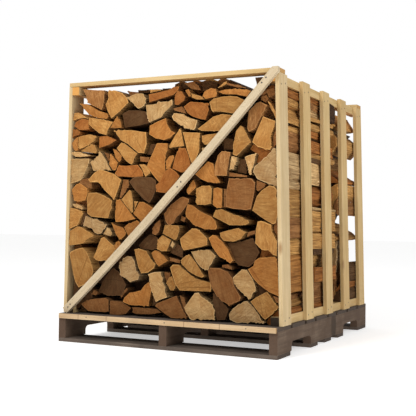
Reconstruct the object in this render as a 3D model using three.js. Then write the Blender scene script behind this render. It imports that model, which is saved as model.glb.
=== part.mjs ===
// Split firewood stacked in an open slatted crate on a notched-stringer pallet.
// Millimetres, +Z up, +X right, +Y from the front to the back.
// The origin is the middle of the whole object's footprint, on the ground.
import * as THREE from 'three';

// Pieces that touch keep this much air between them.
const GAP = 0.3;

// The pallet: three notched stringers between bottom boards and deck boards.
const PALLET_WIDTH = 1016;
const PALLET_LENGTH = 1219.2;
const PALLET_BOARD_THICKNESS = 15.7;
const STRINGER_WIDTH = 35;
const STRINGER_BASE = PALLET_BOARD_THICKNESS + GAP;
const STRINGER_HEIGHT = 89;
const MIDDLE_STRINGER_X = 7;
const NOTCH_FROM_END = 152.4;
const NOTCH_LENGTH = 228.6;
const NOTCH_HEIGHT = 38;
const NOTCH_CORNER = 20;
const DECK_BASE = STRINGER_BASE + STRINGER_HEIGHT + GAP;
const DECK_TOP = DECK_BASE + PALLET_BOARD_THICKNESS;
const DECK_WIDTHS = [140, 140, 100, 140, 100, 140, 140, 140];
const BOTTOM_LEAD_WIDTH = 140;
const BOTTOM_MIDDLE_WIDTH = 89;

// A thin pale batten covers the pallet's front edge.
const BATTEN_THICKNESS = 9.7;
const BATTEN_HEIGHT = 20;
const BATTEN_LEFT = -502;
const BATTEN_RIGHT = 504;
const PALLET_FRONT = (BATTEN_THICKNESS + GAP - PALLET_LENGTH) / 2;
const PALLET_BACK = PALLET_FRONT + PALLET_LENGTH;

// The crate: two slatted sides that lean in a little, tied by boards and braces.
const CRATE_BASE = DECK_TOP + GAP;
const CRATE_HALF_WIDTH = 514;
const SLAT_THICKNESS = 16;
const SLAT_WIDTH = 89;
const SLAT_CENTRES = [-519, -249, 14, 270, 527];
const SLAT_HEIGHT = 992;
const RAIL_SIZE = 35;
const RAIL_TOP = 986;
const LEFT_LEAN = 13;
const RIGHT_LEAN = 28;
// A leaned side's upper corners stand up to this much higher than when it is upright.
const LEAN_ROOM = 2;
const CRATE_FRONT = SLAT_CENTRES[0] - SLAT_WIDTH / 2;
const CRATE_BACK = SLAT_CENTRES[4] + SLAT_WIDTH / 2;
const CRATE_DEPTH = CRATE_BACK - CRATE_FRONT;
const SIDE_DEPTH = SLAT_THICKNESS + GAP + RAIL_SIZE;
const TOP_BOARD_THICKNESS = 17;
const TOP_BOARD_WIDTH = 68;
const TOP_BOARD_BASE = CRATE_BASE + RAIL_TOP + LEAN_ROOM;
const TOP_BOARD_LEFT = -500;
const TOP_BOARD_RIGHT = 485;
const BRACE_THICKNESS = 22;
const BRACE_WIDTH = 30;
const BRACE_FOOT_X = -482;
const BRACE_HEAD_X = 490;
const BRACE_HEAD_Z = 1108;
// How far the middle of a brace sags below the straight line between its ends.
const BRACE_SAG = 15;

// The load: three rows of logs end to end, a loose course of logs on each row.
const LOG_CLEARANCE = 1;
const ROW_LENGTH = 373;
const ROW_PITCH = (CRATE_DEPTH - 2 * LOG_CLEARANCE - ROW_LENGTH) / 2;
const ROW_TOP = 985;
const ROW_ENDS = ['front', 'middle', 'back'];

const wood = (color, roughness) => new THREE.MeshStandardMaterial({ color, roughness });
const OLD_WOOD = wood(0x6e5f50, 0.9);
const NEW_PINE = wood(0xd7be8c, 0.7);
const PALE_PINE = wood(0xe6d2af, 0.7);
const SPLIT_WOOD = wood(0xbe8c50, 0.85);

function piece(name, geometry, material) {
  const mesh = new THREE.Mesh(geometry, material);
  mesh.name = name;
  return mesh;
}

// A board between its lowest corner and its highest corner.
function board(name, low, high, material) {
  const size = high.map((value, axis) => value - low[axis]);
  const mesh = piece(name, new THREE.BoxGeometry(...size), material);
  mesh.position.set(...high.map((value, axis) => (value + low[axis]) / 2));
  return mesh;
}

function outline(points) {
  return new THREE.Shape(points.map(([across, up]) => new THREE.Vector2(across, up)));
}

function extrude(shape, depth) {
  return new THREE.ExtrudeGeometry(shape, { depth, bevelEnabled: false, curveSegments: 5 });
}

// Extrudes an outline drawn in X and Z along Y.
function alongY(shape, front, back) {
  return extrude(shape, back - front).rotateX(Math.PI / 2).translate(0, back, 0);
}

// Extrudes an outline drawn in Y and Z along X.
function alongX(shape, left, width) {
  const turn = new THREE.Matrix4().makeBasis(
    new THREE.Vector3(0, 1, 0),
    new THREE.Vector3(0, 0, 1),
    new THREE.Vector3(1, 0, 0),
  );
  return extrude(shape, width).applyMatrix4(turn).translate(left, 0, 0);
}

// A stringer seen from the side, with a round-cornered notch for the forks near each end.
function stringerOutline() {
  const base = STRINGER_BASE;
  const notchTop = base + NOTCH_HEIGHT;
  const shape = new THREE.Shape();
  shape.moveTo(PALLET_FRONT, base);
  for (const start of [PALLET_FRONT + NOTCH_FROM_END, PALLET_BACK - NOTCH_FROM_END - NOTCH_LENGTH]) {
    const end = start + NOTCH_LENGTH;
    shape.lineTo(start, base);
    shape.lineTo(start, notchTop - NOTCH_CORNER);
    shape.absarc(start + NOTCH_CORNER, notchTop - NOTCH_CORNER, NOTCH_CORNER, Math.PI, Math.PI / 2, true);
    shape.absarc(end - NOTCH_CORNER, notchTop - NOTCH_CORNER, NOTCH_CORNER, Math.PI / 2, 0, true);
    shape.lineTo(end, base);
  }
  shape.lineTo(PALLET_BACK, base);
  shape.lineTo(PALLET_BACK, base + STRINGER_HEIGHT);
  shape.lineTo(PALLET_FRONT, base + STRINGER_HEIGHT);
  return shape;
}

function palletStringers() {
  const half = STRINGER_WIDTH / 2;
  const middles = [half - PALLET_WIDTH / 2, MIDDLE_STRINGER_X, PALLET_WIDTH / 2 - half];
  return middles.map((x, i) => {
    const name = `${['left', 'middle', 'right'][i]}_stringer`;
    return piece(name, alongX(stringerOutline(), x - half, STRINGER_WIDTH), OLD_WOOD);
  });
}

// The deck boards spread over the pallet's length with even gaps.
function deckBoards() {
  const used = DECK_WIDTHS.reduce((sum, width) => sum + width, 0);
  const space = (PALLET_LENGTH - used) / (DECK_WIDTHS.length - 1);
  let front = PALLET_FRONT;
  return DECK_WIDTHS.map((width, i) => {
    const low = [-PALLET_WIDTH / 2, front, DECK_BASE];
    const high = [PALLET_WIDTH / 2, front + width, DECK_TOP];
    front += width + space;
    return board(`deck_board_${i + 1}`, low, high, OLD_WOOD);
  });
}

// A lead board under each end, and three boards under the part between the notches.
function bottomBoards() {
  const middleFront = PALLET_FRONT + NOTCH_FROM_END + NOTCH_LENGTH;
  const middleBack = PALLET_BACK - NOTCH_FROM_END - NOTCH_LENGTH;
  const centre = (middleFront + middleBack - BOTTOM_MIDDLE_WIDTH) / 2;
  const spans = [
    [PALLET_FRONT, BOTTOM_LEAD_WIDTH],
    [middleFront, BOTTOM_MIDDLE_WIDTH],
    [centre, BOTTOM_MIDDLE_WIDTH],
    [middleBack - BOTTOM_MIDDLE_WIDTH, BOTTOM_MIDDLE_WIDTH],
    [PALLET_BACK - BOTTOM_LEAD_WIDTH, BOTTOM_LEAD_WIDTH],
  ];
  return spans.map(([front, width], i) => {
    const low = [-PALLET_WIDTH / 2, front, 0];
    const high = [PALLET_WIDTH / 2, front + width, PALLET_BOARD_THICKNESS];
    return board(`bottom_board_${i + 1}`, low, high, OLD_WOOD);
  });
}

function frontBatten() {
  const back = PALLET_FRONT - GAP;
  const low = [BATTEN_LEFT, back - BATTEN_THICKNESS, DECK_TOP - BATTEN_HEIGHT];
  return board('front_batten', low, [BATTEN_RIGHT, back, DECK_TOP], NEW_PINE);
}

const leanAngle = (lean) => Math.atan(lean / RAIL_TOP);

// One side of the crate, built upright about its bottom outer edge and then leaned inwards.
function crateSide(side, toRight, lean) {
  const group = new THREE.Group();
  const inward = -toRight;
  const span = (near, far) => [inward * near, inward * far].sort((a, b) => a - b);
  const [slatLow, slatHigh] = span(0, SLAT_THICKNESS);
  SLAT_CENTRES.forEach((y, i) => {
    const underBoard = i === 0 || i === SLAT_CENTRES.length - 1;
    const top = underBoard ? RAIL_TOP : SLAT_HEIGHT;
    const low = [slatLow, y - SLAT_WIDTH / 2, 0];
    group.add(board(`${side}_slat_${i + 1}`, low, [slatHigh, y + SLAT_WIDTH / 2, top], NEW_PINE));
  });
  const [railLow, railHigh] = span(SLAT_THICKNESS + GAP, SIDE_DEPTH);
  for (const [level, top] of [['bottom', RAIL_SIZE], ['top', RAIL_TOP]]) {
    const low = [railLow, CRATE_FRONT, top - RAIL_SIZE];
    group.add(board(`${side}_${level}_rail`, low, [railHigh, CRATE_BACK, top], NEW_PINE));
  }
  const angle = leanAngle(lean);
  group.rotation.y = inward * angle;
  group.position.set(toRight * CRATE_HALF_WIDTH, 0, CRATE_BASE + SIDE_DEPTH * Math.sin(angle));
  return group;
}

function topBoards() {
  const fronts = { front: CRATE_FRONT, back: CRATE_BACK - TOP_BOARD_WIDTH };
  return Object.entries(fronts).map(([end, front]) => {
    const low = [TOP_BOARD_LEFT, front, TOP_BOARD_BASE];
    const high = [TOP_BOARD_RIGHT, front + TOP_BOARD_WIDTH, TOP_BOARD_BASE + TOP_BOARD_THICKNESS];
    return board(`${end}_top_board`, low, high, NEW_PINE);
  });
}

// A brace climbs from one foot of the crate to the opposite top corner, and sags a little.
// Its foot is cut square across and its head is trimmed flush with the crate.
function braceOutline() {
  const rise = BRACE_HEAD_Z - CRATE_BASE;
  const run = BRACE_HEAD_X - BRACE_FOOT_X;
  const length = Math.hypot(rise, run);
  const across = [(-rise / length) * BRACE_WIDTH, (run / length) * BRACE_WIDTH];
  const topZ = TOP_BOARD_BASE + TOP_BOARD_THICKNESS;
  const foot = [BRACE_FOOT_X, CRATE_BASE];
  const head = [BRACE_HEAD_X, BRACE_HEAD_Z];
  const upperFoot = [foot[0] + across[0], foot[1] + across[1]];
  const upperHead = [upperFoot[0] + ((topZ - upperFoot[1]) * run) / rise, topZ];
  // The control point of an edge's curve lies twice as far off its middle as the curve does.
  const sagged = (from, to) => [
    (from[0] + to[0]) / 2 + (2 * BRACE_SAG * rise) / length,
    (from[1] + to[1]) / 2 - (2 * BRACE_SAG * run) / length,
  ];
  const shape = new THREE.Shape();
  shape.moveTo(...foot);
  shape.quadraticCurveTo(...sagged(foot, head), ...head);
  shape.lineTo(BRACE_HEAD_X, topZ);
  shape.lineTo(...upperHead);
  shape.quadraticCurveTo(...sagged(upperFoot, upperHead), ...upperFoot);
  return shape;
}

function braces() {
  const front = piece(
    'front_brace',
    alongY(braceOutline(), CRATE_FRONT - GAP - BRACE_THICKNESS, CRATE_FRONT - GAP),
    PALE_PINE,
  );
  const back = piece(
    'back_brace',
    alongY(braceOutline(), -CRATE_BACK - GAP - BRACE_THICKNESS, -CRATE_BACK - GAP),
    PALE_PINE,
  );
  back.rotation.z = Math.PI;
  return [front, back];
}

// How far right, or left, the load may reach at a height before it meets the slats or the rails.
function loadEdge(toRight, z, besideRail) {
  const lean = toRight > 0 ? RIGHT_LEAN : LEFT_LEAN;
  const depth = (besideRail ? SIDE_DEPTH : SLAT_THICKNESS) + LOG_CLEARANCE;
  return toRight * (CRATE_HALF_WIDTH - depth - ((z - CRATE_BASE) * lean) / RAIL_TOP);
}

function rowFront(row) {
  return CRATE_FRONT + LOG_CLEARANCE + row * ROW_PITCH;
}

// The body of a row fills the crate from side to side and steps in over the bottom rails.
function rowOutline() {
  const ground = CRATE_BASE;
  const overRail = CRATE_BASE + RAIL_SIZE + LEAN_ROOM + LOG_CLEARANCE;
  return outline([
    [loadEdge(-1, overRail, true), ground],
    [loadEdge(1, overRail, true), ground],
    [loadEdge(1, overRail, true), overRail],
    [loadEdge(1, overRail, false), overRail],
    [loadEdge(1, ROW_TOP, false), ROW_TOP],
    [loadEdge(-1, ROW_TOP, false), ROW_TOP],
    [loadEdge(-1, overRail, false), overRail],
    [loadEdge(-1, overRail, true), overRail],
  ]);
}

function logRows() {
  return ROW_ENDS.map((end, row) => {
    const front = rowFront(row);
    return piece(`${end}_log_row`, alongY(rowOutline(), front, front + ROW_LENGTH), SPLIT_WOOD);
  });
}

// Sections that a maul leaves, each resting flat on its base, from its width and height.
const SECTIONS = {
  wedge: (w, h) => outline([[0, 0], [w, 0], [0.62 * w, h], [0.4 * w, 0.96 * h]]),
  lump: (w, h) => outline([[0.04 * w, 0], [0.9 * w, 0], [w, 0.55 * h], [0.66 * w, h], [0, 0.72 * h]]),
  slab: (w, h) => outline([[0, 0], [w, 0], [0.95 * w, 0.8 * h], [0.1 * w, h]]),
  half: (w, h) => {
    const shape = outline([[0, 0], [w, 0], [w, 0.35 * h]]);
    shape.splineThru([
      new THREE.Vector2(0.8 * w, 0.82 * h),
      new THREE.Vector2(0.5 * w, h),
      new THREE.Vector2(0.2 * w, 0.82 * h),
      new THREE.Vector2(0, 0.3 * h),
    ]);
    return shape;
  },
  quarter: (w, h) => {
    const shape = outline([[0, 0], [w, 0]]);
    shape.absellipse(0, 0, w, h, 0, Math.PI / 2, false, 0);
    return shape;
  },
};

// The loose top course of a row: each log's section, width, height, length and turn in degrees.
const TOP_COURSES = [
  [
    ['lump', 122, 84, 352, 0],
    ['lump', 116, 98, 362, 0],
    ['quarter', 104, 80, 350, 0],
    ['slab', 128, 86, 366, 0],
    ['wedge', 106, 92, 346, 0],
    ['half', 138, 86, 364, 0],
    ['lump', 110, 96, 356, 0],
    ['slab', 104, 78, 360, 0],
  ],
  [
    ['slab', 118, 76, 350, 0],
    ['wedge', 120, 100, 362, 0],
    ['half', 122, 104, 344, 3],
    ['lump', 116, 112, 348, -3],
    ['wedge', 120, 106, 340, 3],
    ['quarter', 106, 92, 356, 0],
    ['slab', 118, 80, 350, 0],
  ],
  [
    ['half', 126, 80, 356, 0],
    ['lump', 120, 90, 348, 0],
    ['wedge', 134, 98, 344, -3],
    ['slab', 126, 84, 360, 0],
    ['lump', 118, 96, 346, 3],
    ['half', 130, 88, 352, 0],
    ['wedge', 104, 74, 350, 0],
  ],
];

function topCourse(row) {
  const logs = TOP_COURSES[row];
  const middle = rowFront(row) + ROW_LENGTH / 2;
  const left = loadEdge(-1, TOP_BOARD_BASE, false);
  const right = loadEdge(1, TOP_BOARD_BASE, false);
  const used = logs.reduce((sum, [, width]) => sum + width, 0);
  const space = (right - left - used) / logs.length;
  let start = left + space / 2;
  return logs.map(([section, width, height, length, turn], i) => {
    const shape = SECTIONS[section](width, height);
    const geometry = alongY(shape, -length / 2, length / 2).translate(-width / 2, 0, 0);
    const log = piece(`${ROW_ENDS[row]}_top_log_${i + 1}`, geometry, SPLIT_WOOD);
    log.position.set(start + width / 2, middle, ROW_TOP + GAP);
    log.rotation.z = THREE.MathUtils.degToRad(turn);
    start += width + space;
    return log;
  });
}

const crate = new THREE.Group();
crate.add(...palletStringers(), ...deckBoards(), ...bottomBoards(), frontBatten());
crate.add(crateSide('left', -1, LEFT_LEAN), crateSide('right', 1, RIGHT_LEAN));
crate.add(...topBoards(), ...braces(), ...logRows());
ROW_ENDS.forEach((_, row) => crate.add(...topCourse(row)));

export default crate;
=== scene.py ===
"""Split firewood stacked in an open slatted crate on an old notched-stringer pallet.

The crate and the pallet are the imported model's own boards, given bevels and wood. The three rows of
logs are rebuilt as separate split logs, each with a sawn end, torn sides and its own tone.
The two plans of logs and the depths of the fillers are in millimetres, with X to the right and Z up.
All else is in metres.
"""
import math

import bpy
import numpy as np
from mathutils import Matrix, Vector


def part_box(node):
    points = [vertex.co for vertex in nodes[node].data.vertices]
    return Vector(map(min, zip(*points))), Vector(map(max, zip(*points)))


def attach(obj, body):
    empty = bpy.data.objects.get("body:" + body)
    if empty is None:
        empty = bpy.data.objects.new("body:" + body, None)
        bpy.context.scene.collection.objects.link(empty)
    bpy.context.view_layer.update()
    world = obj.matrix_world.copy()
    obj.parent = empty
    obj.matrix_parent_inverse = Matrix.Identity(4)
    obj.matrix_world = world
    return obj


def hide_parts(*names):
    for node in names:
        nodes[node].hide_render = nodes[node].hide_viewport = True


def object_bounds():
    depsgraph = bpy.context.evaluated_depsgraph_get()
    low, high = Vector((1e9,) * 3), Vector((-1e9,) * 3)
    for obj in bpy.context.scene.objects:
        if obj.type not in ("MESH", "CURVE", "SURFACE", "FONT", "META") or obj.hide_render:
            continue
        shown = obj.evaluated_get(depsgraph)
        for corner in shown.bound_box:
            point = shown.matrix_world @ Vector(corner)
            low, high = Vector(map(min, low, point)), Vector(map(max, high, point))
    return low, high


MM = 0.001

# Camera: stands to the right of the crate's front, near the height of its middle.
CAMERA_PLACE = (1.6765, -3.5779, 0.5031)
CAMERA_YAW = 26.31
CAMERA_PITCH = 1.28
CAMERA_ROLL = 0.71
CAMERA_LENS = 72.33

# The studio: the floor's width and own light, how strongly the backdrop lights, and the lamps in watts.
FLOOR_SIZE = 60.0
FLOOR_GLOW = 0.47
BACKDROP_LIGHT = 0.52
KEY_POWER = 154.0
SIDE_POWER = 76.0

# Bare wood colours, linear, and one near-black tone that is painted shadow for the deep gaps.
TONES = {
    "pale": (0.68, 0.440, 0.190),
    "tan": (0.61, 0.325, 0.098),
    "honey": (0.55, 0.245, 0.062),
    "amber": (0.45, 0.175, 0.042),
    "brown": (0.35, 0.160, 0.052),
    "dark": (0.145, 0.073, 0.028),
    "grey": (0.55, 0.365, 0.170),
    "streaked": (0.50, 0.250, 0.085),
    # Not a wood colour: a near-black painted shadow for pieces deep in the gaps.
    "sunken": (0.060, 0.028, 0.012),
}

# The front row as it is stacked: tone, how far its end is set back, and the corners of its end.
# A third number on a corner bows the edge after it outwards by that much.
FRONT_LOGS = [
    # along the floor of the crate
    ("brown", 4, [(-428, 160), (-400, 178, 3), (-302, 193), (-286, 187), (-284, 136), (-302, 131),
        (-390, 131)]),
    ("brown", 7, [(-281, 184), (-228, 182), (-200, 168), (-178, 156), (-204, 128), (-232, 123),
        (-281, 123)]),
    ("brown", 9, [(-172, 158), (-148, 162), (-52, 158), (-28, 144, 6), (-168, 134)]),
    ("brown", 5, [(42, 219), (52, 198), (70, 168), (91, 135), (88, 126), (20, 125), (-30, 152),
        (-60, 170), (-50, 184)]),
    ("brown", 14, [(50, 220), (74, 212), (82, 180), (97, 136), (90, 128), (66, 170)]),
    ("pale", 2, [(124, 233), (142, 237), (158, 221), (203, 195), (216, 168), (217, 130), (108, 124),
        (92, 145), (79, 172)]),
    ("dark", 9, [(206, 240), (222, 226), (262, 192), (276, 175), (262, 132), (224, 128), (216, 170),
        (204, 205)]),
    ("grey", 3, [(278, 156), (296, 182), (345, 213), (360, 213), (396, 180), (421, 148), (436, 132),
        (312, 123), (282, 135)]),
    ("dark", 20, [(-440, 150), (-425, 152), (-408, 132), (-412, 124), (-450, 124)]),
    # second course
    ("dark", 25, [(-484, 290), (-470, 290), (-454, 252), (-452, 228), (-470, 196), (-484, 176)]),
    ("tan", 0, [(-490, 376), (-484, 387, 3), (-424, 406), (-404, 386, 4), (-366, 300), (-390, 250),
        (-436, 232), (-456, 257), (-470, 303)]),
    ("dark", 20, [(-352, 215), (-330, 262), (-300, 300), (-275, 325), (-240, 302), (-206, 252),
        (-226, 206), (-300, 199)]),
    ("brown", 12, [(-385, 204), (-366, 226), (-345, 216), (-358, 199)]),
    ("honey", 3, [(-96, 268), (-82, 267), (-78, 245), (-90, 167), (-150, 167, 3), (-214, 180),
        (-205, 200), (-180, 222), (-128, 233), (-112, 256)]),
    ("brown", 16, [(-246, 208), (-205, 240), (-200, 230), (-232, 196)]),
    ("pale", 1, [(-92, 303), (-64, 312), (-30, 313), (-22, 290), (2, 211), (-52, 187), (-62, 206),
        (-78, 246)]),
    ("brown", 16, [(-26, 313), (8, 312), (6, 292), (-10, 262)]),
    ("dark", 22, [(-74, 232), (-62, 204), (-58, 172), (-84, 168)]),
    ("tan", 4, [(-8, 268), (6, 292), (22, 299), (40, 258), (28, 238), (10, 238)]),
    ("tan", 2, [(12, 333), (26, 347), (52, 348), (97, 312), (126, 294), (196, 278), (201, 255),
        (196, 240), (60, 240), (40, 262), (24, 300)]),
    ("brown", 2, [(184, 328), (195, 339), (240, 338), (276, 326), (297, 300), (305, 270), (336, 226),
        (330, 212), (284, 189), (250, 206, 5), (198, 270), (188, 303)]),
    ("pale", 0, [(334, 338), (358, 337, 5), (396, 266), (395, 252), (384, 245), (376, 222), (364, 217),
        (318, 258), (292, 290), (298, 304)]),
    ("tan", 1, [(376, 212), (398, 229), (442, 254), (456, 240), (471, 219), (491, 195), (470, 170),
        (440, 144), (430, 150), (406, 176)]),
    ("brown", 8, [(464, 238), (492, 232), (492, 208), (478, 214)]),
    ("honey", 0, [(364, 338), (386, 352), (392, 372), (408, 384), (476, 391), (486, 370), (494, 236),
        (452, 252), (406, 283), (384, 306)]),
    ("brown", 10, [(244, 350), (270, 354), (288, 344), (288, 332), (244, 341)]),
    # third course
    ("grey", 0, [(-238, 340), (-216, 365), (-194, 376), (-172, 374), (-156, 354), (-148, 320),
        (-129, 296), (-136, 277), (-176, 264), (-198, 279), (-226, 290), (-235, 312)]),
    ("tan", 2, [(-162, 404), (-140, 409), (-104, 398), (-82, 368), (-58, 346), (-66, 326), (-94, 308),
        (-126, 303), (-142, 332), (-150, 358)]),
    ("honey", 4, [(-78, 392), (-62, 403), (-44, 400), (-20, 382), (0, 360), (-22, 348), (-42, 334),
        (-54, 345), (-70, 370)]),
    ("brown", 18, [(-2, 376), (52, 364), (50, 350), (2, 358)]),
    ("dark", 24, [(6, 425), (38, 432), (60, 410), (58, 372), (0, 392)]),
    ("tan", 3, [(57, 362), (70, 378), (94, 390), (108, 380, 3), (156, 322), (172, 304), (160, 296, 3),
        (96, 320), (62, 350)]),
    ("pale", 1, [(104, 401), (152, 408), (190, 413), (223, 388), (204, 355), (190, 330), (178, 325),
        (166, 329, 3), (124, 370)]),
    ("honey", 3, [(186, 458), (204, 471), (220, 469), (252, 442), (275, 415), (297, 370), (285, 358),
        (232, 386), (204, 420)]),
    ("dark", 22, [(262, 440), (300, 442), (345, 455), (374, 461), (404, 405), (380, 362), (358, 345),
        (312, 350), (290, 374)]),
    ("tan", 0, [(-328, 450), (-312, 455), (-288, 434), (-264, 418), (-256, 400), (-290, 352),
        (-342, 348), (-365, 363), (-340, 418)]),
    ("tan", 0, [(-492, 478), (-455, 498), (-436, 495), (-365, 460), (-396, 443), (-418, 424),
        (-490, 413), (-497, 430)]),
    ("pale", 5, [(-300, 496), (-285, 490), (-272, 472), (-277, 456), (-320, 464)]),
    ("honey", 2, [(-282, 517), (-262, 508), (-218, 494), (-202, 474), (-204, 462), (-224, 442),
        (-238, 446), (-262, 482)]),
    ("honey", 4, [(-264, 420), (-256, 432), (-240, 440), (-226, 426), (-246, 402), (-266, 398)]),
    ("dark", 16, [(-149, 420), (-128, 444), (-100, 467), (-84, 468), (-60, 456), (-51, 438), (-54, 414),
        (-72, 402), (-120, 404), (-142, 410)]),
    ("brown", 10, [(-80, 490), (-66, 515), (-44, 530), (-38, 508), (-46, 478), (-62, 464), (-78, 470)]),
    ("dark", 18, [(-36, 466), (-24, 476), (-13, 510), (-18, 545), (-30, 532), (-24, 505)]),
    ("tan", 2, [(-50, 448), (-26, 467), (16, 447), (8, 424), (-2, 399), (-26, 398), (-51, 407)]),
    ("pale", 9, [(18, 444), (31, 428), (18, 412), (10, 424)]),
    ("tan", 0, [(116, 497), (148, 491), (183, 457), (184, 428), (150, 419), (76, 404), (64, 420),
        (57, 452), (92, 480)]),
    # fourth course
    ("tan", 0, [(-498, 580), (-464, 574), (-430, 564), (-427, 555), (-452, 500), (-470, 495), (-498, 482)]),
    ("pale", 8, [(-488, 592), (-466, 598), (-436, 586), (-432, 570), (-480, 580)]),
    ("dark", 15, [(-428, 560), (-408, 546), (-418, 508), (-446, 502)]),
    ("grey", 3, [(-408, 545), (-380, 535), (-345, 528), (-298, 508), (-318, 484), (-332, 466),
        (-350, 464), (-364, 470), (-376, 487), (-422, 500)]),
    ("tan", 0, [(-406, 614), (-402, 644), (-355, 646), (-300, 627), (-272, 612), (-274, 578),
        (-290, 534), (-304, 534), (-382, 539), (-402, 553)]),
    ("honey", 1, [(-257, 614), (-236, 617), (-174, 550), (-155, 532), (-205, 521), (-256, 517),
        (-261, 540)]),
    ("tan", 2, [(-231, 614), (-205, 642), (-192, 655), (-182, 650), (-172, 606), (-170, 560), (-178, 558)]),
    ("tan", 5, [(-166, 607), (-146, 607), (-164, 570)]),
    ("honey", 0, [(-138, 605), (-116, 604), (-70, 578), (-66, 562), (-122, 516), (-168, 555)]),
    ("honey", 3, [(-214, 498), (-190, 514), (-150, 526), (-138, 520), (-135, 500), (-185, 450),
        (-205, 482)]),
    ("brown", 3, [(-22, 553), (8, 590), (50, 620), (66, 626), (95, 616), (95, 602), (62, 558),
        (38, 538), (30, 518), (14, 507), (0, 507), (-12, 525)]),
    ("brown", 20, [(52, 548), (75, 540), (66, 520), (48, 528)]),
    ("tan", 1, [(-13, 509), (50, 508), (57, 498), (56, 482), (42, 450), (34, 443), (-25, 472), (-20, 485)]),
    ("honey", 0, [(86, 596), (112, 590), (152, 563), (200, 545), (220, 525), (229, 500), (222, 491),
        (178, 491), (124, 507), (82, 542), (77, 558)]),
    ("tan", 1, [(216, 572), (244, 575), (296, 554), (362, 532), (366, 518), (350, 510), (280, 509),
        (238, 528), (205, 543), (208, 558)]),
    ("tan", 2, [(233, 480), (268, 490), (318, 500), (352, 483), (330, 455), (296, 444), (252, 446),
        (236, 462)]),
    ("brown", 10, [(354, 484), (386, 492), (388, 478), (350, 464)]),
    ("tan", 0, [(400, 526), (416, 529), (458, 515), (462, 488), (484, 448), (484, 391), (468, 397),
        (446, 412), (418, 415), (390, 440), (392, 494)]),
    ("brown", 15, [(462, 512), (484, 545), (484, 458), (464, 490)]),
    # fifth course
    ("honey", 1, [(-486, 658), (-464, 682), (-446, 687), (-404, 664), (-402, 640), (-410, 614),
        (-440, 605), (-468, 607)]),
    ("brown", 7, [(-440, 703), (-404, 709), (-388, 692), (-387, 662), (-402, 662), (-450, 686)]),
    ("tan", 0, [(-400, 702), (-370, 730), (-340, 746), (-300, 735), (-262, 722), (-230, 699),
        (-242, 662), (-266, 610), (-278, 624), (-310, 650), (-352, 694), (-388, 690)]),
    ("brown", 14, [(-226, 700), (-200, 700), (-196, 676), (-232, 622), (-244, 618), (-238, 650)]),
    ("dark", 5, [(-194, 690), (-168, 709), (-150, 711), (-84, 708), (-64, 694), (-58, 662), (-80, 615),
        (-94, 598), (-120, 612), (-168, 658)]),
    ("amber", 0, [(-57, 674), (-38, 690), (-16, 730), (8, 745), (36, 728), (52, 708), (20, 660),
        (-12, 640), (-55, 645)]),
    ("honey", 4, [(84, 656), (112, 695), (122, 684), (128, 662), (112, 648), (94, 632), (84, 642)]),
    ("tan", 0, [(129, 658), (156, 669), (192, 669), (201, 655), (197, 596), (172, 590), (134, 591),
        (128, 602)]),
    ("honey", 2, [(205, 657), (222, 662), (246, 655), (244, 580), (222, 576), (202, 592)]),
    ("brown", 12, [(248, 656), (262, 656), (262, 582), (248, 580)]),
    ("honey", 3, [(122, 716), (180, 768), (204, 757), (212, 720), (222, 700), (236, 680), (218, 676),
        (176, 683), (148, 695)]),
    ("brown", 1, [(274, 697), (325, 696), (372, 698), (388, 680), (386, 640), (372, 574), (350, 569),
        (298, 574), (262, 582), (264, 650)]),
    ("brown", 8, [(390, 688), (430, 674), (426, 660), (400, 645), (390, 650)]),
    ("tan", 0, [(450, 668), (470, 664), (485, 650), (486, 592), (486, 560), (476, 520), (463, 514),
        (432, 530), (376, 568), (382, 584), (398, 625), (418, 648)]),
    # sixth course
    ("pale", 0, [(-497, 794), (-452, 794), (-400, 794), (-394, 784), (-414, 736), (-438, 698),
        (-497, 682)]),
    ("pale", 4, [(-490, 824), (-450, 822), (-388, 806), (-450, 800), (-468, 802), (-490, 813)]),
    ("brown", 40, [(462, 1030), (484, 1026), (485, 1070), (462, 1071)]),
    ("brown", 80, [(-22, 1066), (-18, 1104), (14, 1117), (44, 1104), (52, 1066), (14, 1050)]),
    ("amber", 82, [(48, 1066), (46, 1106), (80, 1118), (112, 1108), (118, 1066), (84, 1052)]),
    ("tan", 84, [(112, 1070), (112, 1110), (146, 1120), (176, 1108), (178, 1072), (146, 1056)]),
    ("brown", 78, [(176, 1068), (180, 1108), (206, 1119), (232, 1104), (238, 1066), (208, 1050)]),
    ("dark", 30, [(372, 1098), (404, 1100), (420, 1062), (380, 1058)]),
    ("dark", 30, [(-494, 812), (-420, 812), (-398, 800), (-420, 784), (-494, 784)]),
    ("tan", 2, [(-442, 826), (-408, 847), (-385, 855), (-370, 850), (-356, 826), (-360, 814), (-400, 818)]),
    ("pale", 0, [(-342, 822), (-330, 814), (-306, 780), (-283, 739), (-330, 743), (-372, 737),
        (-389, 776), (-362, 794)]),
    ("brown", 12, [(-328, 820), (-300, 812), (-296, 782), (-304, 780)]),
    ("honey", 2, [(-290, 812), (-276, 803), (-250, 772), (-254, 752), (-262, 737), (-277, 741),
        (-294, 764)]),
    ("honey", 3, [(-277, 832), (-256, 826), (-231, 803), (-234, 784), (-245, 772), (-264, 792)]),
    ("tan", 1, [(-254, 833), (-232, 858), (-216, 854), (-152, 809), (-176, 762), (-192, 766), (-212, 782)]),
    ("amber", 1, [(-244, 762), (-204, 758), (-152, 761), (-126, 730), (-124, 710), (-178, 708),
        (-248, 712), (-262, 724)]),
    ("tan", 3, [(-148, 763), (-122, 763), (-80, 741), (-92, 722), (-112, 708), (-136, 748)]),
    ("dark", 22, [(-100, 850), (-66, 846), (-88, 802), (-122, 804)]),
    ("brown", 14, [(-148, 797), (-98, 792), (-106, 770), (-146, 774)]),
    ("honey", 0, [(-56, 848), (-2, 847), (-4, 826), (-18, 778), (-16, 724), (-38, 684), (-50, 686),
        (-82, 722), (-105, 755), (-98, 772)]),
    ("honey", 3, [(-15, 772), (2, 794), (20, 798), (26, 786), (6, 742), (-12, 737)]),
    ("amber", 1, [(44, 828), (76, 825), (100, 768), (102, 752), (90, 732), (62, 722), (18, 740),
        (30, 790)]),
    ("tan", 0, [(60, 890), (112, 888), (143, 885), (142, 805), (120, 757), (108, 762), (84, 820)]),
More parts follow.
